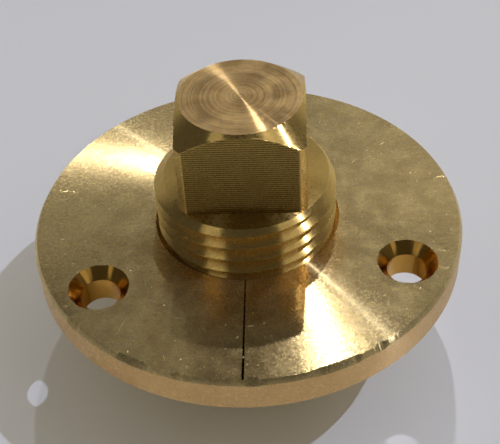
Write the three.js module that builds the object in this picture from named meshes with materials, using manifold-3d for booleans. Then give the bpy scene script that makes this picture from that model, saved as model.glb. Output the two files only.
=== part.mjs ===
// Flanged drain plug in brass: a round screw-down flange with a threaded boss below it, a plug
// with a square head that screws down into the boss, and a sealing ring carried on the plug's nose.
//
// Millimetres, +Z up. The origin is the centre of the boss's bottom face, and +Z is the axis that
// every turned face and the thread share. The three screw holes lie at 90, 210 and 330 degrees.

import * as THREE from "three";
import { mergeVertices } from "three/addons/utils/BufferGeometryUtils.js";
import Module from "manifold-3d";

// --- Driving dimensions -------------------------------------------------------------------------

// Thread: half-inch parallel pipe thread, 14 turns to the inch, right hand.
const PITCH = 25.4 / 14;
const FLANK_ANGLE = THREE.MathUtils.degToRad(27.5);
const CREST_FLAT = 0.2;
const MALE_CREST_RADIUS = 10.4;
const MALE_ROOT_RADIUS = 9.24;
const THREAD_PLAY = 0.18;
const THREAD_PHASE = 0.5;
const THREAD_SEGMENTS = 36;

// Flange and the boss below it.
const FLANGE_RADIUS = 25;
const FLANGE_THICKNESS = 4.3;
const BODY_HEIGHT = 17.5;
const FLANGE_UNDERSIDE = BODY_HEIGHT - FLANGE_THICKNESS;
const RIM_CHAMFER_RADIAL = 0.35;
const RIM_CHAMFER_AXIAL = 0.6;
const LOWER_EDGE_CHAMFER = 0.2;
const BOSS_RADIUS = 13.5;
const BOSS_CHAMFER = 0.6;
const BOSS_ROOT_FILLET = 0.8;
const FLANGE_SEGMENTS = 96;

// Countersunk screw holes in the flange.
const SCREW_HOLE_COUNT = 3;
const SCREW_CIRCLE_RADIUS = 19.85;
const FIRST_HOLE_ANGLE = Math.PI / 2;
const SCREW_HOLE_RADIUS = 2.25;
const COUNTERSINK_RADIUS = 3.36;
const COUNTERSINK_DEPTH = 1.25;
const HOLE_SEGMENTS = 32;

// Stepped bore: thread, seat for the sealing ring, drain opening.
const MOUTH_CHAMFER = 0.2;
const THREAD_BOTTOM = 7.6;
const SEAT_BORE_RADIUS = 9.3;
const SEAT_HEIGHT = 5.3;
const DRAIN_RADIUS = 7.6;
const DRAIN_CHAMFER = 0.5;

// Plug, from the top of its square head down to its nose.
const PLUG_TOP = BODY_HEIGHT + 17.1;
const HEAD_ACROSS_FLATS = 14;
const HEAD_CORNER_RADIUS = 9.38;
const HEAD_TOP_RADIUS = 6.73;
const HEAD_CONE_HEIGHT = 2.1;
const HEAD_TURN = THREE.MathUtils.degToRad(-5.2);
const SHOULDER_HEIGHT = BODY_HEIGHT + 6.5;
const SHOULDER_RADIUS = 9.57;
const SHOULDER_CHAMFER_AXIAL = 0.7;
const PLUG_THREAD_BOTTOM = 8.6;
const LEAD_IN_CHAMFER = 1.2;
const NOSE_RADIUS = 8.6;
const PLUG_SEGMENTS = 48;

// Sealing ring and the groove that holds it on the plug's nose.
const TOUCH_GAP = 0.3;
const RING_INNER_RADIUS = 6.75;
const RING_OUTER_RADIUS = 8.9;
const RING_BOTTOM = SEAT_HEIGHT + TOUCH_GAP;
const RING_THICKNESS = 2;
const RING_EDGE_RADIUS = 0.4;
const RING_EDGE_STEPS = 2;
const RING_TOP = RING_BOTTOM + RING_THICKNESS;
const NECK_RADIUS = 6.55;
const NECK_BOTTOM = RING_BOTTOM - TOUCH_GAP;
const NECK_TOP = RING_TOP + TOUCH_GAP;
const LIP_RADIUS = 7.1;
const LIP_BOTTOM = 4.4;
const LIP_CHAMFER = 0.3;

const wasm = await Module();
wasm.setup();

// --- Geometry helpers ---------------------------------------------------------------------------

// A closed three.js geometry as a manifold solid. Triangles that the pole of a lathe squeezes to a
// line are dropped once their corners are merged.
function toSolid(geometry) {
  geometry.deleteAttribute("normal");
  geometry.deleteAttribute("uv");
  const merged = mergeVertices(geometry, 1e-5);
  const corners = merged.index.array;
  const kept = [];
  for (let i = 0; i < corners.length; i += 3) {
    const [a, b, c] = corners.slice(i, i + 3);
    if (a !== b && b !== c && c !== a) kept.push(a, b, c);
  }
  return new wasm.Manifold(
    new wasm.Mesh({
      numProp: 3,
      vertProperties: new Float32Array(merged.attributes.position.array),
      triVerts: new Uint32Array(kept),
    }),
  );
}

function toGeometry(solid) {
  const mesh = solid.getMesh();
  const geometry = new THREE.BufferGeometry();
  geometry.setAttribute("position", new THREE.BufferAttribute(mesh.vertProperties, 3));
  geometry.setIndex(new THREE.BufferAttribute(mesh.triVerts, 1));
  geometry.computeVertexNormals();
  return geometry;
}

// A profile of [radius, height] corners turned about +Z. It runs upwards on the outside.
function turned(profile, segments) {
  const points = profile.map(([radius, height]) => new THREE.Vector2(radius, height));
  const geometry = new THREE.LatheGeometry(points, segments);
  geometry.rotateX(Math.PI / 2);
  return geometry;
}

// Outline corners of a quarter round from one direction to the next, about a centre.
function quarterRound(radius, height, size, startAngle, steps) {
  const corners = [];
  for (let i = 0; i <= steps; i++) {
    const angle = startAngle + (i / steps) * (Math.PI / 2);
    corners.push([radius + size * Math.cos(angle), height + size * Math.sin(angle)]);
  }
  return corners;
}

// A threaded rod that reaches past both given heights, to be trimmed by an envelope. Its skin is
// one strip of helical rows: root, lower flank, crest and upper flank repeat once in each pitch,
// and a full turn joins each row to the row one pitch above it.
function threadedRod(crestRadius, rootRadius, low, high) {
  const flankHeight = (crestRadius - rootRadius) * Math.tan(FLANK_ANGLE);
  const halfCrest = CREST_FLAT / 2;
  const corners = [
    [-halfCrest - flankHeight, rootRadius],
    [-halfCrest, crestRadius],
    [halfCrest, crestRadius],
    [halfCrest + flankHeight, rootRadius],
  ];
  const rowsPerTurn = corners.length;
  const firstTurn = Math.floor((low - THREAD_PHASE) / PITCH) - 2;
  const turns = Math.ceil((high - THREAD_PHASE) / PITCH) + 1 - firstTurn;
  const rows = turns * rowsPerTurn;
  const positions = [];
  const indices = [];
  const cornerAt = (step, row) => {
    if (step === THREAD_SEGMENTS) return cornerAt(0, row + rowsPerTurn);
    return step * (rows + rowsPerTurn + 1) + row;
  };
  for (let step = 0; step < THREAD_SEGMENTS; step++) {
    const angle = (step / THREAD_SEGMENTS) * 2 * Math.PI;
    for (let row = 0; row <= rows + rowsPerTurn; row++) {
      const [offset, radius] = corners[row % rowsPerTurn];
      const turn = firstTurn + Math.floor(row / rowsPerTurn) + step / THREAD_SEGMENTS;
      const height = THREAD_PHASE + turn * PITCH + offset;
      positions.push(radius * Math.cos(angle), radius * Math.sin(angle), height);
    }
  }
  for (let step = 0; step < THREAD_SEGMENTS; step++) {
    for (let row = 0; row < rows; row++) {
      const a = cornerAt(step, row);
      const b = cornerAt(step + 1, row);
      const c = cornerAt(step + 1, row + 1);
      const d = cornerAt(step, row + 1);
      indices.push(a, b, c, a, c, d);
    }
  }
  const bottomPole = positions.length / 3;
  positions.push(0, 0, THREAD_PHASE + (firstTurn - 1) * PITCH);
  const topPole = bottomPole + 1;
  positions.push(0, 0, THREAD_PHASE + (firstTurn + turns + 2) * PITCH);
  for (let step = 0; step < THREAD_SEGMENTS; step++) {
    indices.push(bottomPole, cornerAt(step + 1, 0), cornerAt(step, 0));
    indices.push(topPole, cornerAt(step, rows), cornerAt(step + 1, rows));
  }
  for (let row = 0; row < rowsPerTurn; row++) {
    indices.push(bottomPole, cornerAt(0, row), cornerAt(0, row + 1));
    indices.push(topPole, cornerAt(0, rows + row + 1), cornerAt(0, rows + row));
  }
  const geometry = new THREE.BufferGeometry();
  geometry.setAttribute("position", new THREE.Float32BufferAttribute(positions, 3));
  geometry.setIndex(indices);
  return toSolid(geometry);
}

// A prism on the XY plane between two heights.
function prism(shape, low, high) {
  const geometry = new THREE.ExtrudeGeometry(shape, { depth: high - low, bevelEnabled: false });
  geometry.translate(0, 0, low);
  return toSolid(geometry);
}

// --- Flange -------------------------------------------------------------------------------------

function flangeBlank() {
  const fillet = quarterRound(
    BOSS_RADIUS + BOSS_ROOT_FILLET, FLANGE_UNDERSIDE - BOSS_ROOT_FILLET,
    BOSS_ROOT_FILLET, Math.PI / 2, RING_EDGE_STEPS,
  ).reverse();
  return toSolid(turned([
    [0, 0],
    [BOSS_RADIUS - BOSS_CHAMFER, 0],
    [BOSS_RADIUS, BOSS_CHAMFER],
    ...fillet,
    [FLANGE_RADIUS - LOWER_EDGE_CHAMFER, FLANGE_UNDERSIDE],
    [FLANGE_RADIUS, FLANGE_UNDERSIDE + LOWER_EDGE_CHAMFER],
    [FLANGE_RADIUS, BODY_HEIGHT - RIM_CHAMFER_AXIAL],
    [FLANGE_RADIUS - RIM_CHAMFER_RADIAL, BODY_HEIGHT],
    [0, BODY_HEIGHT],
  ], FLANGE_SEGMENTS));
}

// The tapped hole as a solid: a rod one thread play larger than the plug's, ending at the seat.
function tappedHole() {
  const crest = MALE_CREST_RADIUS + THREAD_PLAY;
  const root = MALE_ROOT_RADIUS + THREAD_PLAY;
  const past = 2;
  const envelope = toSolid(turned([
    [0, THREAD_BOTTOM - TOUCH_GAP],
    [SEAT_BORE_RADIUS, THREAD_BOTTOM - TOUCH_GAP],
    [crest + TOUCH_GAP, THREAD_BOTTOM + crest - SEAT_BORE_RADIUS],
    [crest + TOUCH_GAP, BODY_HEIGHT + past],
    [0, BODY_HEIGHT + past],
  ], PLUG_SEGMENTS));
  return threadedRod(crest, root, THREAD_BOTTOM, BODY_HEIGHT + past).intersect(envelope);
}

// The plain bore below the thread and the chamfers at both mouths, as one turned solid.
function plainBore() {
  const past = 1;
  const mouthRadius = MALE_CREST_RADIUS + THREAD_PLAY + MOUTH_CHAMFER;
  return toSolid(turned([
    [0, -past],
    [DRAIN_RADIUS + DRAIN_CHAMFER + past, -past],
    [DRAIN_RADIUS, DRAIN_CHAMFER],
    [DRAIN_RADIUS, SEAT_HEIGHT],
    [SEAT_BORE_RADIUS, SEAT_HEIGHT],
    [SEAT_BORE_RADIUS, BODY_HEIGHT - mouthRadius + SEAT_BORE_RADIUS],
    [mouthRadius + past, BODY_HEIGHT + past],
    [0, BODY_HEIGHT + past],
  ], PLUG_SEGMENTS));
}

function screwHole(angle) {
  const past = 1;
  const slope = (COUNTERSINK_RADIUS - SCREW_HOLE_RADIUS) / COUNTERSINK_DEPTH;
  const geometry = turned([
    [0, FLANGE_UNDERSIDE - past],
    [SCREW_HOLE_RADIUS, FLANGE_UNDERSIDE - past],
    [SCREW_HOLE_RADIUS, BODY_HEIGHT - COUNTERSINK_DEPTH],
    [COUNTERSINK_RADIUS + slope * past, BODY_HEIGHT + past],
    [0, BODY_HEIGHT + past],
  ], HOLE_SEGMENTS);
  geometry.translate(SCREW_CIRCLE_RADIUS * Math.cos(angle), SCREW_CIRCLE_RADIUS * Math.sin(angle), 0);
  return toSolid(geometry);
}

function flangeGeometry() {
  let solid = flangeBlank().subtract(tappedHole()).subtract(plainBore());
  for (let i = 0; i < SCREW_HOLE_COUNT; i++) {
    const angle = FIRST_HOLE_ANGLE + (i / SCREW_HOLE_COUNT) * 2 * Math.PI;
    solid = solid.subtract(screwHole(angle));
  }
  return toGeometry(solid);
}

// --- Plug ---------------------------------------------------------------------------------------

// The square head: a square bar whose corners and top edge are turned. It starts inside the thread.
function squareHead() {
  const half = HEAD_ACROSS_FLATS / 2;
  const bottom = SHOULDER_HEIGHT - 1;
  const square = new THREE.Shape();
  square.moveTo(-half, -half);
  square.lineTo(half, -half);
  square.lineTo(half, half);
  square.lineTo(-half, half);
  square.closePath();
  const envelope = toSolid(turned([
    [0, bottom],
    [HEAD_CORNER_RADIUS, bottom],
    [HEAD_CORNER_RADIUS, PLUG_TOP - HEAD_CONE_HEIGHT],
    [HEAD_TOP_RADIUS, PLUG_TOP],
    [0, PLUG_TOP],
  ], PLUG_SEGMENTS));
  return prism(square, bottom - 1, PLUG_TOP + 1)
    .intersect(envelope)
    .rotate([0, 0, THREE.MathUtils.radToDeg(HEAD_TURN)]);
}

// The threaded barrel between the shoulder and the nose, chamfered at both ends.
function plugThread() {
  const chamferRise = MALE_CREST_RADIUS - SHOULDER_RADIUS;
  const envelope = toSolid(turned([
    [0, PLUG_THREAD_BOTTOM],
    [MALE_CREST_RADIUS - LEAD_IN_CHAMFER, PLUG_THREAD_BOTTOM],
    [MALE_CREST_RADIUS + LEAD_IN_CHAMFER, PLUG_THREAD_BOTTOM + 2 * LEAD_IN_CHAMFER],
    [MALE_CREST_RADIUS + chamferRise, SHOULDER_HEIGHT - 2 * SHOULDER_CHAMFER_AXIAL],
    [SHOULDER_RADIUS, SHOULDER_HEIGHT],
    [0, SHOULDER_HEIGHT],
  ], PLUG_SEGMENTS));
  return threadedRod(MALE_CREST_RADIUS, MALE_ROOT_RADIUS, PLUG_THREAD_BOTTOM, SHOULDER_HEIGHT)
    .intersect(envelope);
}

// The nose below the thread, with the groove and the lip that keep the sealing ring on.
function plugNose() {
  return toSolid(turned([
    [0, LIP_BOTTOM],
    [LIP_RADIUS - LIP_CHAMFER, LIP_BOTTOM],
    [LIP_RADIUS, LIP_BOTTOM + LIP_CHAMFER],
    [LIP_RADIUS, NECK_BOTTOM],
    [NECK_RADIUS, NECK_BOTTOM],
    [NECK_RADIUS, NECK_TOP],
    [NOSE_RADIUS, NECK_TOP],
    [NOSE_RADIUS, PLUG_THREAD_BOTTOM + 1],
    [0, PLUG_THREAD_BOTTOM + 1],
  ], PLUG_SEGMENTS));
}

function plugGeometry() {
  return toGeometry(plugThread().add(squareHead()).add(plugNose()));
}

// --- Sealing ring -------------------------------------------------------------------------------

function sealRingGeometry() {
  const inner = RING_INNER_RADIUS + RING_EDGE_RADIUS;
  const outer = RING_OUTER_RADIUS - RING_EDGE_RADIUS;
  const low = RING_BOTTOM + RING_EDGE_RADIUS;
  const high = RING_TOP - RING_EDGE_RADIUS;
  const outline = [
    ...quarterRound(inner, low, RING_EDGE_RADIUS, Math.PI, RING_EDGE_STEPS),
    ...quarterRound(outer, low, RING_EDGE_RADIUS, -Math.PI / 2, RING_EDGE_STEPS),
    ...quarterRound(outer, high, RING_EDGE_RADIUS, 0, RING_EDGE_STEPS),
    ...quarterRound(inner, high, RING_EDGE_RADIUS, Math.PI / 2, RING_EDGE_STEPS),
  ];
  return toGeometry(toSolid(turned([...outline, outline[0]], PLUG_SEGMENTS)));
}

// --- Assembly -----------------------------------------------------------------------------------

function piece(name, geometry, material) {
  const mesh = new THREE.Mesh(geometry, material);
  mesh.name = name;
  return mesh;
}

const flangeBrass = new THREE.MeshStandardMaterial({ color: 0xb59a55, roughness: 0.32, metalness: 1 });
const plugBrass = new THREE.MeshStandardMaterial({ color: 0xc2a266, roughness: 0.3, metalness: 1 });
const blackRubber = new THREE.MeshStandardMaterial({ color: 0x1c1c1e, roughness: 0.8, metalness: 0 });

const drainPlug = new THREE.Group();
drainPlug.add(piece("flange", flangeGeometry(), flangeBrass));

const plugGroup = new THREE.Group();
plugGroup.add(piece("plug", plugGeometry(), plugBrass));
plugGroup.add(piece("seal_ring", sealRingGeometry(), blackRubber));
drainPlug.add(plugGroup);

export default drainPlug;
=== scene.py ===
import math
import random

import bmesh
import bpy
from mathutils import Euler, Matrix, Vector, noise


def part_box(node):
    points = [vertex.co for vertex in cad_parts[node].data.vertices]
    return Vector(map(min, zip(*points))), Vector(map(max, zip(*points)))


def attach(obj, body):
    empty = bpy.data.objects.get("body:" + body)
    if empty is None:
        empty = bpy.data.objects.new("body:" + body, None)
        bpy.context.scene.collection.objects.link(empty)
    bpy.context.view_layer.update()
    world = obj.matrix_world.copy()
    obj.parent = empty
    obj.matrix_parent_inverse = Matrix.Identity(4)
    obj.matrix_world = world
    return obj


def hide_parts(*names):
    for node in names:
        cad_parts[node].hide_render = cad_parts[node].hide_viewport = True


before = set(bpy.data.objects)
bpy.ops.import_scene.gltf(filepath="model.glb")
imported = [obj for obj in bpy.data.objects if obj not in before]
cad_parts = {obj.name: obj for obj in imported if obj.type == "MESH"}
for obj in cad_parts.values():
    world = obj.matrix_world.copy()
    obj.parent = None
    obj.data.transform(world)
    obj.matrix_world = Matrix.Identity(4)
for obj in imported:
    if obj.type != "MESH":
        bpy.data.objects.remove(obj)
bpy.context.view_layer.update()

# --- Sizes, in millimetres, taken from the frame where it holds them ----------------------------

MM = 0.001


def node_box(node):
    low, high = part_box(node)
    return low / MM, high / MM


FLANGE_HIGH = node_box("flange")[1]
PLUG_LOW, PLUG_HIGH = node_box("plug")
RING_LOW, RING_HIGH = node_box("seal_ring")

# Thread: half-inch parallel pipe thread, right hand, shared by plug and boss.
PITCH = 25.4 / 14
FLANK_ANGLE = math.radians(27.5)
CREST_FLAT = 0.2
THREAD_DEPTH = 1.16
THREAD_PHASE = 0.5
THREAD_ROUNDING = 0.045
THREAD_PLAY = 0.18
MOUTH_CHAMFER = 0.2
THREAD_SEGMENTS = 192
CREST_RADIUS = PLUG_HIGH.x
ROOT_RADIUS = CREST_RADIUS - THREAD_DEPTH

# Flange and boss.
FLANGE_RADIUS = FLANGE_HIGH.x
FACE = FLANGE_HIGH.z
FLANGE_THICKNESS = 4.3
UNDERSIDE = FACE - FLANGE_THICKNESS
BOSS_RADIUS = 13.5
SEAT_BORE_RADIUS = 9.3
SEAT_HEIGHT = 5.3
DRAIN_RADIUS = 7.6
THREAD_BOTTOM = 7.6
BOSS_CHAMFER = 0.6
BOSS_FILLET = 0.8
DRAIN_CHAMFER = 0.5
LOWER_EDGE = 0.2
UPPER_EDGE_DROP = 0.6
UPPER_EDGE_WIDTH = 0.35
FACE_COLUMNS = 576
HOLE_CIRCLE = 19.85
HOLE_RADIUS = 2.25
SINK_RADIUS = 3.36
SINK_DEPTH = 1.25
HOLE_ANGLES = [math.radians(90 + 120 * i) for i in range(3)]

# Plug.
PLUG_TOP = PLUG_HIGH.z
SHOULDER = FACE + 6.5
SHOULDER_RADIUS = 9.57
PLUG_THREAD_BOTTOM = 8.6
HEAD_FLATS = 14.0
HEAD_CORNER_RADIUS = 9.38
HEAD_TOP_RADIUS = 6.73
HEAD_CONE_HEIGHT = 2.1
HEAD_TURN = math.radians(-5.2)
HEAD_BURR_LOW = 0.035
HEAD_BURR_TOP = 0.03
THREAD_LEAD = 1.2
NOSE_TIP_RADIUS = 6.8
NOSE_RADIUS = 7.1
GROOVE_RADIUS = 6.55
COLLAR_RADIUS = 8.6
GROOVE_PLAY = 0.3

# Sealing ring.
RING_INNER_RADIUS = 6.75
RING_ROUNDING = 0.4


# Finishes, by their place in FINISHES.
TURNED, DRILLED, MILLED, RIM, BARE, RUBBER, FACED, THREAD = range(8)
FINISHES = []


# --- Mesh helpers -------------------------------------------------------------------------------

def mesh_object(name, corners, faces, finish=TURNED):
    """A mesh in the finish with the given place in FINISHES."""
    mesh = bpy.data.meshes.new(name)
    mesh.from_pydata([tuple(c) for c in corners], [], faces)
    for material in FINISHES:
        mesh.materials.append(material)
    for polygon in mesh.polygons:
        polygon.material_index = finish
    mesh.update()
    thing = bpy.data.objects.new(name, mesh)
    bpy.context.scene.collection.objects.link(thing)
    return thing


def rounded(outline, steps=4):
    """An outline of (radius, height, rounding) corners with each rounded corner as an arc."""
    points = []
    for i, (r, z, rounding) in enumerate(outline):
        if not rounding or i in (0, len(outline) - 1):
            points.append((r, z))
            continue
        here = Vector((r, z))
        back = (Vector(outline[i - 1][:2]) - here).normalized()
        ahead = (Vector(outline[i + 1][:2]) - here).normalized()
        half = back.angle(ahead) / 2
        centre = here + (back + ahead).normalized() * (rounding / math.sin(half))
        start = here + back * (rounding / math.tan(half)) - centre
        turn = start.angle_signed(here + ahead * (rounding / math.tan(half)) - centre)
        for k in range(steps + 1):
            spoke = start.copy()
            spoke.rotate(Matrix.Rotation(-turn * k / steps, 2))
            points.append(tuple(centre + spoke))
    return points


def turned(name, profile, angles, dent=None, finish=TURNED):
    """A profile of (radius, height) points turned about Z. It is closed, or ends on the axis."""
    closed = profile[0] == profile[-1]
    points = profile[:-1] if closed else profile
    corners, rows = [], []
    for r, z in points:
        if r < 1e-6:
            rows.append([len(corners)] * len(angles))
            corners.append((0, 0, z))
            continue
        rows.append(range(len(corners), len(corners) + len(angles)))
        for angle in angles:
            rr, zz = dent(r, z, angle) if dent else (r, z)
            corners.append((rr * math.cos(angle), rr * math.sin(angle), zz))
    faces = []
    pairs = list(zip(rows, rows[1:] + rows[:1])) if closed else list(zip(rows, rows[1:]))
    for low, high in pairs:
        for i in range(len(angles)):
            j = (i + 1) % len(angles)
            face = [low[i], low[j], high[j], high[i]]
            face = [c for k, c in enumerate(face) if c != face[k - 1]]
            if len(face) > 2:
                faces.append(face)
    return mesh_object(name, corners, faces, finish)


def even_angles(count):
    return [2 * math.pi * i / count for i in range(count)]


def combine(base, other, operation):
    """base joined to, cut by or kept inside other, which is used up."""
    modifier = base.modifiers.new("combine", "BOOLEAN")
    modifier.operation = operation
    modifier.solver = "EXACT"
    modifier.material_mode = "INDEX"
    modifier.object = other
    bpy.context.view_layer.update()
    evaluated = base.evaluated_get(bpy.context.evaluated_depsgraph_get())
    mesh = bpy.data.meshes.new_from_object(evaluated)
    base.modifiers.clear()
    base.data = mesh
    bpy.data.objects.remove(other)
    return base


def thread_outline(crest, root):
    """(offset along the axis, radius) points over one pitch, with rounded crests and roots."""
    flank = (crest - root) * math.tan(FLANK_ANGLE)
    half = CREST_FLAT / 2
    corners = [(-half - flank, root), (-half, crest), (half, crest), (half + flank, root)]
    repeated = [
        (r, z + turn * PITCH, THREAD_ROUNDING)
        for turn in (-1, 0, 1)
        for z, r in corners
    ]
    steps = 3
    points = rounded(repeated, steps)
    per_turn = len(corners) * (steps + 1)
    first = 1 + 3 * (steps + 1)
    return [(z, r) for r, z in points[first:first + per_turn]]


def threaded_rod(name, crest, root, low, high):
    """A rod whose helical thread reaches past both heights, to be trimmed by an envelope."""
    outline = thread_outline(crest, root)
    per_turn = len(outline)
    first_turn = math.floor((low - THREAD_PHASE) / PITCH) - 2
    turns = math.ceil((high - THREAD_PHASE) / PITCH) + 1 - first_turn
    rows = turns * per_turn
    stride = rows + per_turn + 1
    corners = []
    for step in range(THREAD_SEGMENTS):
        share = step / THREAD_SEGMENTS
        angle = share * 2 * math.pi
        for row in range(stride):
            offset, radius = outline[row % per_turn]
            z = THREAD_PHASE + (first_turn + row // per_turn + share) * PITCH + offset
            corners.append((radius * math.cos(angle), radius * math.sin(angle), z))

    def corner(step, row):
        if step == THREAD_SEGMENTS:
            return row + per_turn
        return step * stride + row

    faces = [
        [corner(s, r), corner(s + 1, r), corner(s + 1, r + 1), corner(s, r + 1)]
        for s in range(THREAD_SEGMENTS)
        for r in range(rows)
    ]
    bottom = len(corners)
    corners.append((0, 0, THREAD_PHASE + (first_turn - 1) * PITCH))
    top = len(corners)
    corners.append((0, 0, THREAD_PHASE + (first_turn + turns + 2) * PITCH))
    for s in range(THREAD_SEGMENTS):
        faces.append([bottom, corner(s + 1, 0), corner(s, 0)])
        faces.append([top, corner(s, rows), corner(s + 1, rows)])
    for r in range(per_turn):
        faces.append([bottom, corner(0, r), corner(0, r + 1)])
        faces.append([top, corner(0, rows + r + 1), corner(0, rows + r)])
    rod = mesh_object(name, corners, faces, THREAD)
    work = bmesh.new()
    work.from_mesh(rod.data)
    loose = [v for v in work.verts if not v.link_faces]
    bmesh.ops.delete(work, geom=loose, context="VERTS")
    work.to_mesh(rod.data)
    work.free()
    return rod


def drop_unused_finishes(mesh):
    used = sorted({polygon.material_index for polygon in mesh.polygons})
    places = [used.index(polygon.material_index) for polygon in mesh.polygons]
    mesh.materials.clear()
    for finish in used:
        mesh.materials.append(FINISHES[finish])
    for polygon, place in zip(mesh.polygons, places):
        polygon.material_index = place


def finish_mesh(thing, sharp_degrees=32):
    """Millimetres to metres, with smooth shading up to the sharp angle and flats kept flat."""
    work = bmesh.new()
    work.from_mesh(thing.data)
    bmesh.ops.remove_doubles(work, verts=work.verts, dist=0.0005)
    bmesh.ops.dissolve_degenerate(work, edges=work.edges, dist=0.0004)
    bmesh.ops.scale(work, vec=(MM, MM, MM), verts=work.verts)
    work.to_mesh(thing.data)
    work.free()
    drop_unused_finishes(thing.data)
    for polygon in thing.data.polygons:
        polygon.use_smooth = True
    thing.data.set_sharp_from_angle(angle=math.radians(sharp_degrees))
    weighted = thing.modifiers.new("weighted normals", "WEIGHTED_NORMAL")
    weighted.keep_sharp = True
    weighted.weight = 100
    return thing


# --- Flange -------------------------------------------------------------------------------------

# Wear on the face, from a fixed seed: how many marks, and the shortest and longest of each kind.
SCRATCH_COUNT = 26
SCRATCH_LENGTHS = (0.5, 2.8)
SCRATCH_WIDTHS = (0.07, 0.14)
SCRATCH_DEPTH = 0.04
PIT_COUNT = 230
PIT_LENGTHS = (0.12, 0.40)
PIT_WIDTH_SHARES = (0.3, 0.8)
PIT_DEPTH_SHARE = 0.12
HOLE_CLEARANCE = 4.0
WORN_FROM = 12.2
WORN_TO = 24.4

# Marks on the front of the rim's upper edge, in degrees and millimetres, from a fixed seed.
RIM_MARK_COUNT = 6
RIM_MARK_RANGE = (-145, -45)
RIM_MARK_LENGTHS = (1, 14)
RIM_MARK_WIDTHS = (0.05, 0.30)
RIM_MARK_DROPS = (0.02, 0.20)


def rim_marks():
    """Worn stretches of the edge: from angle, to angle, extra width and drop of the bevel."""
    chance = random.Random(3)
    low, high = RIM_MARK_RANGE
    step = (high - low) / RIM_MARK_COUNT
    marks = []
    for i in range(RIM_MARK_COUNT):
        start = low + step * i
        length = chance.uniform(*RIM_MARK_LENGTHS)
        width = chance.uniform(*RIM_MARK_WIDTHS)
        drop = chance.uniform(*RIM_MARK_DROPS)
        marks.append((start, start + length, width, drop))
    return marks


RIM_MARKS = rim_marks()


def within(angle, low, high):
    """How far inside a range of degrees an angle is: one inside, nought outside."""
    degrees = (math.degrees(angle) + 180) % 360 - 180
    inside = min(degrees - low, high - degrees) / 0.5
    return max(0.0, min(1.0, inside))


def worn_rim(r, z, angle):
    """The upper edge of the rim, with fine beads all round and its worn stretches."""
    if z < FACE - 0.9 or r < FLANGE_RADIUS - 0.6:
        return r, z
    around = Vector((math.cos(angle), math.sin(angle), 0))
    bead = noise.noise(around * 70) * 0.03 + noise.noise(around * 190) * 0.022
    mark = [within(angle, low, high) for low, high, _, _ in RIM_MARKS]
    wide = sum(m * spec[2] for m, spec in zip(mark, RIM_MARKS))
    drop = sum(m * spec[3] for m, spec in zip(mark, RIM_MARKS))
    if z > FACE - 0.02:
        return r + bead - wide, z
    if r > FLANGE_RADIUS - 0.02:
        return r, z - drop + bead * 0.5
    return r - wide * 0.4 + bead * 0.5, z - drop * 0.5


def sliver(start, end, width, depth, level):
    """Corners and faces of a long pointed cutter whose cut is width wide and depth deep."""
    rise = 0.05
    grow = (depth + rise) / depth
    middle = (start + end) / 2
    along = (end - start) / 2 * grow
    side = Vector((-along.y, along.x)).normalized() * width / 2 * grow
    ring = [middle - along, middle - side, middle + along, middle + side]
    corners = [(c.x, c.y, level + rise) for c in ring]
    corners.append((middle.x, middle.y, level - depth))
    faces = [[0, 1, 2, 3], [1, 0, 4], [2, 1, 4], [3, 2, 4], [0, 3, 4]]
    return corners, faces


def scatter(chance, count, lengths, taken):
    """Places on the face as (start, end, length), clear of the holes and of one another."""
    places = []
    shortest, longest = lengths
    while len(places) < count:
        radius = WORN_FROM + (WORN_TO - WORN_FROM) * math.sqrt(chance.random())
        angle = chance.uniform(-math.pi, math.pi)
        centre = Vector((math.cos(angle), math.sin(angle))) * radius
        heading = chance.uniform(0, math.pi)
        length = shortest + (longest - shortest) * chance.random() ** 2
        half = Vector((math.cos(heading), math.sin(heading))) * length / 2
        if radius + length > WORN_TO or radius - length < WORN_FROM - 1:
            continue
        if any((centre - c).length < reach + length for c, reach in taken):
            continue
        taken.append((centre, length))
        places.append((centre - half, centre + half, length))
    return places


def wear_cutter():
    """Every scratch and pit on the flange's face, as one set of separate cutters."""
    chance = random.Random(11)
    taken = [(Vector((math.cos(a), math.sin(a))) * HOLE_CIRCLE, HOLE_CLEARANCE) for a in HOLE_ANGLES]
    marks = [
        (start, end, chance.uniform(*SCRATCH_WIDTHS), SCRATCH_DEPTH)
        for start, end, _ in scatter(chance, SCRATCH_COUNT, SCRATCH_LENGTHS, taken)
    ]
    marks += [
        (start, end, length * chance.uniform(*PIT_WIDTH_SHARES), length * PIT_DEPTH_SHARE)
        for start, end, length in scatter(chance, PIT_COUNT, PIT_LENGTHS, taken)
    ]
    corners, faces = [], []
    for start, end, width, depth in marks:
        own_corners, own_faces = sliver(start, end, width, depth, FACE)
        faces += [[i + len(corners) for i in face] for face in own_faces]
        corners += own_corners
    return mesh_object("wear", corners, faces, BARE)


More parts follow.
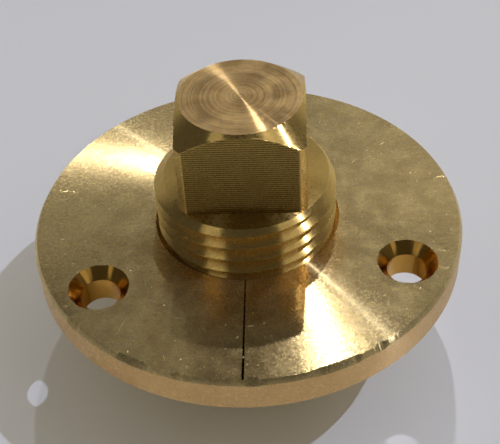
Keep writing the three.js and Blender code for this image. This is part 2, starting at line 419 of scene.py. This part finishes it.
def build_flange():
    play_crest = CREST_RADIUS + THREAD_PLAY
    play_root = ROOT_RADIUS + THREAD_PLAY
    mouth = play_crest + MOUTH_CHAMFER
    drain_middle = 3.0
    outline = [
        (DRAIN_RADIUS, drain_middle, 0),
        (DRAIN_RADIUS, DRAIN_CHAMFER, 0.1),
        (DRAIN_RADIUS + DRAIN_CHAMFER, 0, 0.1),
        (BOSS_RADIUS - BOSS_CHAMFER, 0, 0.12),
        (BOSS_RADIUS, BOSS_CHAMFER, 0.12),
        (BOSS_RADIUS, UNDERSIDE, BOSS_FILLET),
        (FLANGE_RADIUS - LOWER_EDGE, UNDERSIDE, 0.08),
        (FLANGE_RADIUS, UNDERSIDE + LOWER_EDGE, 0.08),
        (FLANGE_RADIUS, FACE - UPPER_EDGE_DROP, 0.05),
        (FLANGE_RADIUS - UPPER_EDGE_WIDTH, FACE, 0.03),
        (mouth, FACE, 0.03),
        (SEAT_BORE_RADIUS, FACE - mouth + SEAT_BORE_RADIUS, 0.05),
        (SEAT_BORE_RADIUS, SEAT_HEIGHT, 0.1),
        (DRAIN_RADIUS, SEAT_HEIGHT, 0.1),
        (DRAIN_RADIUS, drain_middle, 0),
    ]
    flange = turned("flange_brass", rounded(outline, 3), even_angles(FACE_COLUMNS), worn_rim)
    for polygon in flange.data.polygons:
        upright = abs(polygon.normal.z) < 0.2
        if upright and Vector(polygon.center[:2]).length > FLANGE_RADIUS - 0.1:
            polygon.material_index = RIM
    rod = threaded_rod("tapped", play_crest, play_root, THREAD_BOTTOM, FACE + 1)
    envelope = turned("tapped_length", [
        (0, THREAD_BOTTOM - 0.3),
        (SEAT_BORE_RADIUS - 0.01, THREAD_BOTTOM - 0.3),
        (play_crest + 0.3, THREAD_BOTTOM + play_crest - SEAT_BORE_RADIUS),
        (play_crest + 0.3, FACE + 1),
        (0, FACE + 1),
    ], even_angles(96))
    combine(flange, combine(rod, envelope, "INTERSECT"), "DIFFERENCE")
    for angle in HOLE_ANGLES:
        combine(flange, hole_cutter(angle), "DIFFERENCE")
    combine(flange, wear_cutter(), "DIFFERENCE")
    return finish_mesh(flange)


def hole_cutter(angle):
    """A countersunk hole, with the waves that drill chatter leaves on the cone."""
    def chatter(r, z, turn):
        if z < FACE - SINK_DEPTH - 0.2 or r > SINK_RADIUS + 0.5 or r < 0.1:
            return r, z
        depth = (r - HOLE_RADIUS) / (SINK_RADIUS - HOLE_RADIUS)
        wave = math.sin(11 * turn + angle * 2) * 0.024 + math.sin(29 * turn + angle) * 0.007
        return r + wave * min(1, max(0.15, depth)), z

    outline = [
        (0, UNDERSIDE - 1, 0),
        (HOLE_RADIUS + 1.1, UNDERSIDE - 1, 0),
        (HOLE_RADIUS, UNDERSIDE + 0.1, 0.05),
        (HOLE_RADIUS, FACE - SINK_DEPTH, 0.06),
        (SINK_RADIUS - 0.3, FACE - 0.34, 0),
        (SINK_RADIUS, FACE, 0.03),
        (SINK_RADIUS + 1.0, FACE + 0.3, 0),
        (0, FACE + 0.3, 0),
    ]
    cutter = turned("screw_hole", rounded(outline, 3), even_angles(120), chatter, DRILLED)
    cutter.data.transform(
        Matrix.Translation((HOLE_CIRCLE * math.cos(angle), HOLE_CIRCLE * math.sin(angle), 0))
    )
    return cutter


# --- Plug ---------------------------------------------------------------------------------------

LINE_PITCH = 0.285
LINE_DEPTH = 0.009


def head_outline():
    """Plan points of the square head as (angle, radius, is flat): flats and turned corners."""
    half = HEAD_FLATS / 2
    edge = math.acos(half / HEAD_CORNER_RADIUS)
    ease = 0.009
    droop = 0.025
    across = 26
    around = 6
    points = []
    for side in range(4):
        middle = side * math.pi / 2
        for i in range(-across, across + 1):
            share = math.sin(i / across * math.pi / 2)
            angle = math.atan(share * math.tan(edge - ease))
            points.append((middle + angle, half / math.cos(angle), True))
        points.append((middle + edge, HEAD_CORNER_RADIUS - droop, False))
        gap = math.pi / 2 - 2 * edge
        for i in range(around + 1):
            angle = edge + ease + (gap - 2 * ease) * i / around
            points.append((middle + angle, HEAD_CORNER_RADIUS, False))
        points.append((middle + edge + gap, HEAD_CORNER_RADIUS - droop, False))
    return points


def burr(angle, height, size):
    """A small ragged offset along a sharp edge."""
    place = Vector((math.cos(angle) * 9, math.sin(angle) * 9, height))
    ragged = noise.noise(place * 1.7) + 0.7 * noise.noise(place * 5.1)
    return size * ragged


def build_head():
    """The square head as columns: up the wall, over the cone, and across the turned top."""
    columns = head_outline()
    cone_foot = PLUG_TOP - HEAD_CONE_HEIGHT
    slope = (HEAD_CORNER_RADIUS - HEAD_TOP_RADIUS) / HEAD_CONE_HEIGHT
    low = SHOULDER - 1
    row_step = LINE_PITCH / 5
    half = HEAD_FLATS / 2
    chance = random.Random(5)
    corners, rows, finishes = [], [], []
    total = len(columns)

    def put(row, finish):
        rows.append(range(len(corners), len(corners) + total))
        corners.extend(row)
        finishes.append(finish)

    def place(angle, radius, height):
        angle += HEAD_TURN
        return (radius * math.cos(angle), radius * math.sin(angle), height)

    def edge_height(radius):
        return cone_foot + (HEAD_CORNER_RADIUS - radius) / slope

    for k in range(int((PLUG_TOP - low) / row_step)):
        z = low + k * row_step
        row = []
        for angle, radius, flat in columns:
            height = min(z, edge_height(radius) - 0.05)
            cut = LINE_DEPTH * (1 + math.sin(2 * math.pi * height / LINE_PITCH))
            row.append(place(angle, radius - (cut * radius / half if flat else cut * 0.2), height))
        put(row, "wall")
    for share in (0.02, 0.06, 0.2, 0.4, 0.6, 0.8, 0.94, 0.985, 1.0):
        row = []
        for angle, radius, flat in columns:
            edge_z = edge_height(radius)
            z = edge_z + (PLUG_TOP - edge_z) * share
            out = HEAD_CORNER_RADIUS - (z - cone_foot) * slope
            ragged = burr(angle, z, HEAD_BURR_LOW) if share < 0.03 else 0
            ragged += burr(angle, z, HEAD_BURR_TOP) if share > 0.98 else 0
            row.append(place(angle, out + ragged, z + abs(ragged) * 0.5 * (share < 0.5)))
        put(row, "cone")
    ring_count = 72
    ring_depth = 0.006
    dimple_depth = 0.02
    dimple_radius = 0.35
    for i in range(1, ring_count):
        radius = (HEAD_TOP_RADIUS - 0.04) * (1 - i / ring_count)
        dimple = dimple_depth * math.exp(-(radius / dimple_radius) ** 2)
        level = PLUG_TOP - ring_depth * chance.random() - dimple
        put([place(angle, radius, level) for angle, _, _ in columns], "top")
    faces, kinds = [], []
    for k, (below, above) in enumerate(zip(rows, rows[1:])):
        for i in range(total):
            j = (i + 1) % total
            faces.append([below[i], below[j], above[j], above[i]])
            milled = finishes[k + 1] == "wall" and columns[i][2] and columns[j][2]
            kinds.append(MILLED if milled else FACED if finishes[k + 1] == "top" else THREAD)
    faces.append(list(reversed(rows[0])))
    faces.append(list(rows[-1]))
    head = mesh_object("head", corners, faces)
    for polygon, kind in zip(head.data.polygons, kinds + [THREAD, FACED]):
        polygon.material_index = kind
    work = bmesh.new()
    work.from_mesh(head.data)
    bmesh.ops.remove_doubles(work, verts=work.verts, dist=0.0004)
    work.to_mesh(head.data)
    work.free()
    return head


def build_plug():
    rod = threaded_rod("plug_brass", CREST_RADIUS, ROOT_RADIUS, PLUG_THREAD_BOTTOM, SHOULDER)
    rise = 0.7
    over = CREST_RADIUS - SHOULDER_RADIUS
    envelope = turned("thread_length", rounded([
        (0, PLUG_THREAD_BOTTOM, 0),
        (CREST_RADIUS - THREAD_LEAD, PLUG_THREAD_BOTTOM, 0),
        (CREST_RADIUS + THREAD_LEAD, PLUG_THREAD_BOTTOM + 2 * THREAD_LEAD, 0),
        (CREST_RADIUS + over, SHOULDER - 2 * rise, 0),
        (SHOULDER_RADIUS, SHOULDER, 0.06),
        (0, SHOULDER, 0),
    ]), even_angles(192), None, THREAD)
    plug = combine(rod, envelope, "INTERSECT")
    combine(plug, build_head(), "UNION")
    low = PLUG_LOW.z
    nose = turned("nose", rounded([
        (0, low, 0),
        (NOSE_TIP_RADIUS, low, 0.05),
        (NOSE_RADIUS, low + 0.3, 0.05),
        (NOSE_RADIUS, RING_LOW.z - GROOVE_PLAY, 0.08),
        (GROOVE_RADIUS, RING_LOW.z - GROOVE_PLAY, 0.08),
        (GROOVE_RADIUS, RING_HIGH.z + GROOVE_PLAY, 0.08),
        (COLLAR_RADIUS, RING_HIGH.z + GROOVE_PLAY, 0.08),
        (COLLAR_RADIUS, PLUG_THREAD_BOTTOM + 1, 0),
        (0, PLUG_THREAD_BOTTOM + 1, 0),
    ]), even_angles(128))
    combine(plug, nose, "UNION")
    return finish_mesh(plug)


def build_ring():
    inner, outer = RING_INNER_RADIUS, RING_HIGH.x
    low, high = RING_LOW.z, RING_HIGH.z
    middle = (low + high) / 2
    outline = [
        (inner, middle, 0),
        (inner, low, RING_ROUNDING),
        (outer, low, RING_ROUNDING),
        (outer, high, RING_ROUNDING),
        (inner, high, RING_ROUNDING),
        (inner, middle, 0),
    ]
    return finish_mesh(turned("seal_ring_rubber", rounded(outline, 6), even_angles(128), None, RUBBER))


# --- Materials ----------------------------------------------------------------------------------

# Clean, stained, dull and dark brass.
BRASS_SHADES = [(0.90, 0.67, 0.27), (0.60, 0.41, 0.17), (0.66, 0.52, 0.27), (0.24, 0.17, 0.06)]


class Nodes:
    """Short calls for building one node tree."""

    def __init__(self, tree):
        self.tree = tree

    def add(self, kind, inputs=(), **settings):
        node = self.tree.nodes.new(kind)
        for key, value in settings.items():
            setattr(node, key, value)
        for key, value in dict(inputs).items():
            if isinstance(value, bpy.types.NodeSocket):
                self.tree.links.new(value, node.inputs[key])
            else:
                node.inputs[key].default_value = value
        return node

    def math(self, operation, a, b=0.0, c=0.0, clamp=False):
        inputs = {0: a, 1: b, 2: c}
        return self.add("ShaderNodeMath", inputs, operation=operation, use_clamp=clamp).outputs[0]

    def vector(self, operation, inputs):
        return self.add("ShaderNodeVectorMath", inputs, operation=operation).outputs[0]

    def ramp(self, value, low, high, to_low=0.0, to_high=1.0):
        inputs = {"Value": value, "From Min": low, "From Max": high, "To Min": to_low, "To Max": to_high}
        return self.add("ShaderNodeMapRange", inputs, interpolation_type="SMOOTHSTEP").outputs[0]

    def mix(self, factor, a, b, blend="MIX"):
        node = self.tree.nodes.new("ShaderNodeMix")
        node.data_type = "RGBA"
        node.blend_type = blend
        for key, value in zip((0, 6, 7), (factor, a, b)):
            if isinstance(value, bpy.types.NodeSocket):
                self.tree.links.new(value, node.inputs[key])
            else:
                node.inputs[key].default_value = value
        return node.outputs[2]


def plain_lobe(nodes, colour, roughness, normal, **more):
    inputs = {"Base Color": colour, "Metallic": 1.0, "Roughness": roughness, "Normal": normal}
    inputs.update({key.replace("_", " "): value for key, value in more.items()})
    return nodes.add("ShaderNodeBsdfPrincipled", inputs).outputs[0]


def noise_at(nodes, where, scale, detail=2.0, roughness=0.5, stretch=None, distortion=0.0):
    """A noise value at a place in millimetres, scale features to a millimetre."""
    if stretch:
        where = nodes.add("ShaderNodeMapping", {"Vector": where, "Scale": stretch}).outputs[0]
    inputs = {
        "Vector": where,
        "Scale": scale,
        "Detail": detail,
        "Roughness": roughness,
        "Distortion": distortion,
    }
    return nodes.add("ShaderNodeTexNoise", inputs).outputs[0]


# Lobes across the tool marks: lean of the surface, roughness along the marks, and weight.
GROOVE_LOBES = [
    (0.1, 0.126, 0.5),
    (-0.1, 0.126, 0.5),
    (0.0, 0.24, 0.6),
    (0.3, 0.15, 0.05),
    (-0.3, 0.15, 0.05),
    (0.6, 0.15, 0.035),
    (-0.6, 0.15, 0.035),
]
# Lobes leaning less than this follow the bumped surface, and the rest the even one.
BUMPED_LEAN = 0.2
LEATHER_DEPTH = 0.000005


def brass(name, marks=1.0, mottle=1.0, lines=None, rings=None, plain=0.5, plain_share=0.16,
          tone=1.0, tint=(1, 1, 1)):
    """Machined brass: a fan of lobes across the tool marks, and a plain lobe."""
    material = bpy.data.materials.new(name)
    material.use_nodes = True
    tree = material.node_tree
    tree.nodes.clear()
    nodes = Nodes(tree)
    metres = nodes.add("ShaderNodeTexCoord").outputs["Object"]
    where = nodes.vector("MULTIPLY", {0: metres, 1: (1000, 1000, 1000)})
    x, y, z = nodes.add("ShaderNodeSeparateXYZ", {0: where}).outputs

    stain = nodes.ramp(noise_at(nodes, where, 0.34, 5.0, 0.72), 0.36, 0.66)
    fine_stain = nodes.ramp(noise_at(nodes, where, 1.6, 4.0, 0.75), 0.36, 0.68)
    base, stained, dull, dark = [
        (*(min(1, c ** tone * t) for c, t in zip(shade, tint)), 1) for shade in BRASS_SHADES
    ]
    colour = nodes.mix(nodes.math("MULTIPLY", stain, 0.38 * min(1, mottle)), base, stained)
    colour = nodes.mix(nodes.math("MULTIPLY", fine_stain, 0.7 * min(1, mottle)), colour, dull)
    if lines:
        turns = nodes.math("DIVIDE", z, lines)
        wave = nodes.math("SINE", nodes.math("MULTIPLY", turns, 2 * math.pi))
        valley = nodes.ramp(wave, -0.5, 0.8)
        colour = nodes.mix(nodes.math("MULTIPLY", valley, 0.75), colour, dark)
    if rings:
        squares = nodes.math("ADD", nodes.math("MULTIPLY", x, x), nodes.math("MULTIPLY", y, y))
        reach = nodes.math("SQRT", squares)
        along = nodes.add("ShaderNodeCombineXYZ", {
            0: nodes.math("MULTIPLY", reach, rings),
            1: nodes.math("MULTIPLY", x, 0.12),
        })
        band = nodes.ramp(noise_at(nodes, along.outputs[0], 1.0, 3.0, 0.7), 0.44, 0.58)
        colour = nodes.mix(nodes.math("MULTIPLY", band, 0.34), colour, dark)

    leather = noise_at(nodes, where, 1.7, 4.0, 0.62, distortion=0.6)
    bumped = nodes.add("ShaderNodeBump", {
        "Height": leather,
        "Strength": 1.0,
        "Distance": LEATHER_DEPTH * mottle,
    }).outputs[0]
    worn = nodes.ramp(noise_at(nodes, where, 0.35, 4.0, 0.65), 0.35, 0.7, plain * 0.8, plain * 1.5)
    patches = nodes.ramp(noise_at(nodes, where, 2.4, 4.0, 0.8), 0.38, 0.62, 0.72, 1.28)
    specks = nodes.ramp(noise_at(nodes, where, 4.5, 2.0, 0.6), 0.70, 0.75, 0.0, 0.45 * min(1, mottle))
    shader = plain_lobe(nodes, colour, worn, bumped)
    if marks:
        around = nodes.add("ShaderNodeTangent", direction_type="RADIAL", axis="Z").outputs[0]
        even = nodes.add("ShaderNodeNewGeometry").outputs["Normal"]
        across = nodes.vector("CROSS_PRODUCT", {0: around, 1: even})
        total = 0.0
        fan = None
        for lean, roughness, weight in GROOVE_LOBES:
            start = bumped if abs(lean) < BUMPED_LEAN else even
            tilted = start
            if lean:
                step = nodes.vector("SCALE", {0: across, "Scale": lean})
                tilted = nodes.vector("NORMALIZE", {0: nodes.vector("ADD", {0: start, 1: step})})
            grain = roughness * marks
            if abs(lean) < BUMPED_LEAN:
                grain = nodes.math("MULTIPLY", patches, grain)
            lobe = plain_lobe(
                nodes, colour, grain, tilted,
                Anisotropic=1.0, Anisotropic_Rotation=0.25, Tangent=around,
            )
            total += weight
            if fan is None:
                fan = lobe
            else:
                fan = nodes.add("ShaderNodeMixShader", {0: weight / total, 1: fan, 2: lobe}).outputs[0]
        share = nodes.math("ADD", specks, plain_share)
        shader = nodes.add("ShaderNodeMixShader", {0: share, 1: fan, 2: shader}).outputs[0]
    out = nodes.add("ShaderNodeOutputMaterial")
    tree.links.new(shader, out.inputs["Surface"])
    return material


def rubber(name):
    material = bpy.data.materials.new(name)
    material.use_nodes = True
    shader = material.node_tree.nodes["Principled BSDF"]
    shader.inputs["Base Color"].default_value = (0.025, 0.025, 0.026, 1)
    shader.inputs["Roughness"].default_value = 0.6
    return material


# --- Camera -------------------------------------------------------------------------------------

CAMERA_DISTANCE = 121.86
CAMERA_ELEVATION = math.radians(42.64)
CAMERA_TURN = math.radians(-1.9)
CAMERA_TILT = Euler((0.0084, 0.0022, 0.0600), "XYZ")
LENS = 74.48


def add_camera():
    centre = Vector((0, 0, FACE))
    level = CAMERA_DISTANCE * math.cos(CAMERA_ELEVATION)
    away = Vector((
        level * math.sin(CAMERA_TURN),
        -level * math.cos(CAMERA_TURN),
        CAMERA_DISTANCE * math.sin(CAMERA_ELEVATION),
    ))
    data = bpy.data.cameras.new("camera")
    data.lens = LENS
    data.sensor_width = 36
    data.clip_start = 0.005
    camera = bpy.data.objects.new("camera", data)
    aim = (-away).to_track_quat("-Z", "Y").to_matrix()
    turn = aim @ CAMERA_TILT.to_matrix().transposed()
    camera.matrix_world = Matrix.Translation((centre + away) * MM) @ turn.to_4x4()
    bpy.context.scene.collection.objects.link(camera)
    bpy.context.scene.camera = camera


# --- Stage --------------------------------------------------------------------------------------

def add_floor():
    floor = mesh_object("floor", [(-2, -2, 0), (2, -2, 0), (2, 2, 0), (-2, 2, 0)], [[0, 1, 2, 3]])
    material = bpy.data.materials.new("pale_table")
    material.use_nodes = True
    shader = material.node_tree.nodes["Principled BSDF"]
    shader.inputs["Base Color"].default_value = (0.765, 0.785, 0.80, 1)
    shader.inputs["Roughness"].default_value = 0.25
    floor.data.materials.clear()
    floor.data.materials.append(material)


def add_sun(name, towards, strength, degrees, colour):
    data = bpy.data.lights.new(name, "SUN")
    data.energy = strength
    data.color = colour
    data.angle = math.radians(degrees)
    sun = bpy.data.objects.new(name, data)
    sun.rotation_euler = Vector(towards).to_track_quat("Z", "Y").to_euler()
    bpy.context.scene.collection.objects.link(sun)


# Soft areas of the room: azimuth, elevation, half width, half height, edge softness, radiance.
ROOM_PANELS = [
    (92, 0, 52, 41, 1.5, 0.24),
    (48, 18, 30, 24, 10, 0.25),
    (-5, 36, 40, 20, 10, 0.06),
    (62, 47, 22, 9, 4, 0.07),
]
ROOM_BASE = 0.06
ROOM_TINT = (1.0, 1.0, 0.98, 1)
# A pair of ceiling panels leaning away from the camera, in directions x / z and y / z.
CEILING_MIDDLE = 0.35
CEILING_LEAN = -0.85
CEILING_HALF_WIDTH = 0.13
CEILING_FLARE = -0.3
CEILING_DEPTH = (-0.58, 0.72)
CEILING_RADIANCE = 0.42


def edge(nodes, value, half, soft):
    """One within half of zero, falling to nought over the soft edge."""
    return nodes.ramp(nodes.math("ABSOLUTE", value), half - soft, half + soft, 1.0, 0.0)


def panel(nodes, azimuth, elevation, spec):
    middle_a, middle_e, half_a, half_e, soft, radiance = spec
    apart = nodes.math("SUBTRACT", azimuth, middle_a)
    along = edge(nodes, nodes.math("WRAP", apart, 180.0, -180.0), half_a, max(soft, 8))
    up = edge(nodes, nodes.math("SUBTRACT", elevation, middle_e), half_e, soft)
    return nodes.math("MULTIPLY", nodes.math("MULTIPLY", along, up), radiance)


def ceiling(nodes, x, y, z):
    height = nodes.math("MAXIMUM", z, 0.05)
    across = nodes.math("ABSOLUTE", nodes.math("DIVIDE", x, height))
    deep = nodes.math("DIVIDE", y, height)
    middle = nodes.math("MULTIPLY_ADD", deep, CEILING_LEAN, CEILING_MIDDLE)
    half = nodes.math("MULTIPLY_ADD", deep, CEILING_FLARE, CEILING_HALF_WIDTH)
    share = nodes.math("DIVIDE", nodes.math("SUBTRACT", across, middle), nodes.math("MAXIMUM", half, 0.05))
    inside = edge(nodes, share, 1.0, 0.12)
    length = nodes.math("SUBTRACT", deep, CEILING_DEPTH[0])
    reach = edge(nodes, length, CEILING_DEPTH[1], 0.05)
    return nodes.math("MULTIPLY", nodes.math("MULTIPLY", inside, reach), CEILING_RADIANCE)


def add_world():
    world = bpy.data.worlds.new("studio")
    bpy.context.scene.world = world
    world.use_nodes = True
    world.node_tree.nodes.clear()
    nodes = Nodes(world.node_tree)
    towards = nodes.add("ShaderNodeTexCoord").outputs["Generated"]
    x, y, z = nodes.add("ShaderNodeSeparateXYZ", {0: towards}).outputs
    azimuth = nodes.math("DEGREES", nodes.math("ARCTAN2", y, x))
    elevation = nodes.math("DEGREES", nodes.math("ARCSINE", z))
    level = nodes.math("ADD", ceiling(nodes, x, y, z), ROOM_BASE)
    for spec in ROOM_PANELS:
        level = nodes.math("ADD", level, panel(nodes, azimuth, elevation, spec))
    background = nodes.add("ShaderNodeBackground", {"Color": ROOM_TINT, "Strength": level})
    out = nodes.add("ShaderNodeOutputWorld")
    world.node_tree.links.new(background.outputs[0], out.inputs["Surface"])


def add_fill(height, size, watts, colour):
    """Soft light for the table, left out of mirror reflections."""
    data = bpy.data.lights.new("fill", "AREA")
    data.size = size
    data.energy = watts
    data.color = colour
    fill = bpy.data.objects.new("fill", data)
    fill.location = (0, 0, height)
    fill.visible_glossy = False
    bpy.context.scene.collection.objects.link(fill)


add_camera()
add_floor()
add_world()
add_sun("lamp_behind", (0.125, 0.797, 1), 0.29, 1.1, (1.0, 1.0, 1.12))
add_sun("lamp_right", (0.671, 0.008, 1), 0.84, 0.8, (0.93, 1.0, 1.3))
add_fill(0.45, 1.6, 2.4, (1.0, 0.85, 0.62))

FINISHES += [
    brass("turned_brass"),
    # The drilled finish's darker, more orange tone and tint is painted shade and painted warm reflection
    # inside the screw holes.
    brass("drilled_brass_painted_shade", marks=0, mottle=0.2, plain=0.17, tone=1.2, tint=(0.7, 0.54, 0.32)),
    # The milled flats' darker tone and tint is partly their own olive colour and partly painted shade.
    brass("milled_brass_painted_shade", lines=LINE_PITCH, mottle=0.2, plain_share=0.2, tone=1.3, tint=(0.62, 0.62, 0.56)),
    brass("rim_brass", marks=1.5, mottle=0.3, tone=1.2, tint=(0.95, 0.88, 1.05)),
    brass("bare_brass", marks=0, mottle=0.3, tone=0.7),
    rubber("seal_rubber"),
    brass("faced_brass", marks=0.9, rings=4.5, plain_share=0.74, tone=1.2, tint=(0.82, 0.77, 0.84)),
    # The thread finish's darker tone, also on the head's cone and corners, is painted shade for the dark
    # bands between the thread turns.
    brass("thread_brass_painted_shade", marks=1.4, mottle=0.35, plain=0.13, plain_share=0.08, tone=1.35),
]

for build, body, node, slot in (
    (build_flange, "flange", "flange", "flange_brass"),
    (build_plug, "plug", "plug", "plug_brass"),
    (build_ring, "seal", "seal_ring", "seal_rubber"),
):
    piece = build()
    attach(piece, body)
    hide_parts(node)

bpy.context.scene.view_settings.view_transform = "Standard"
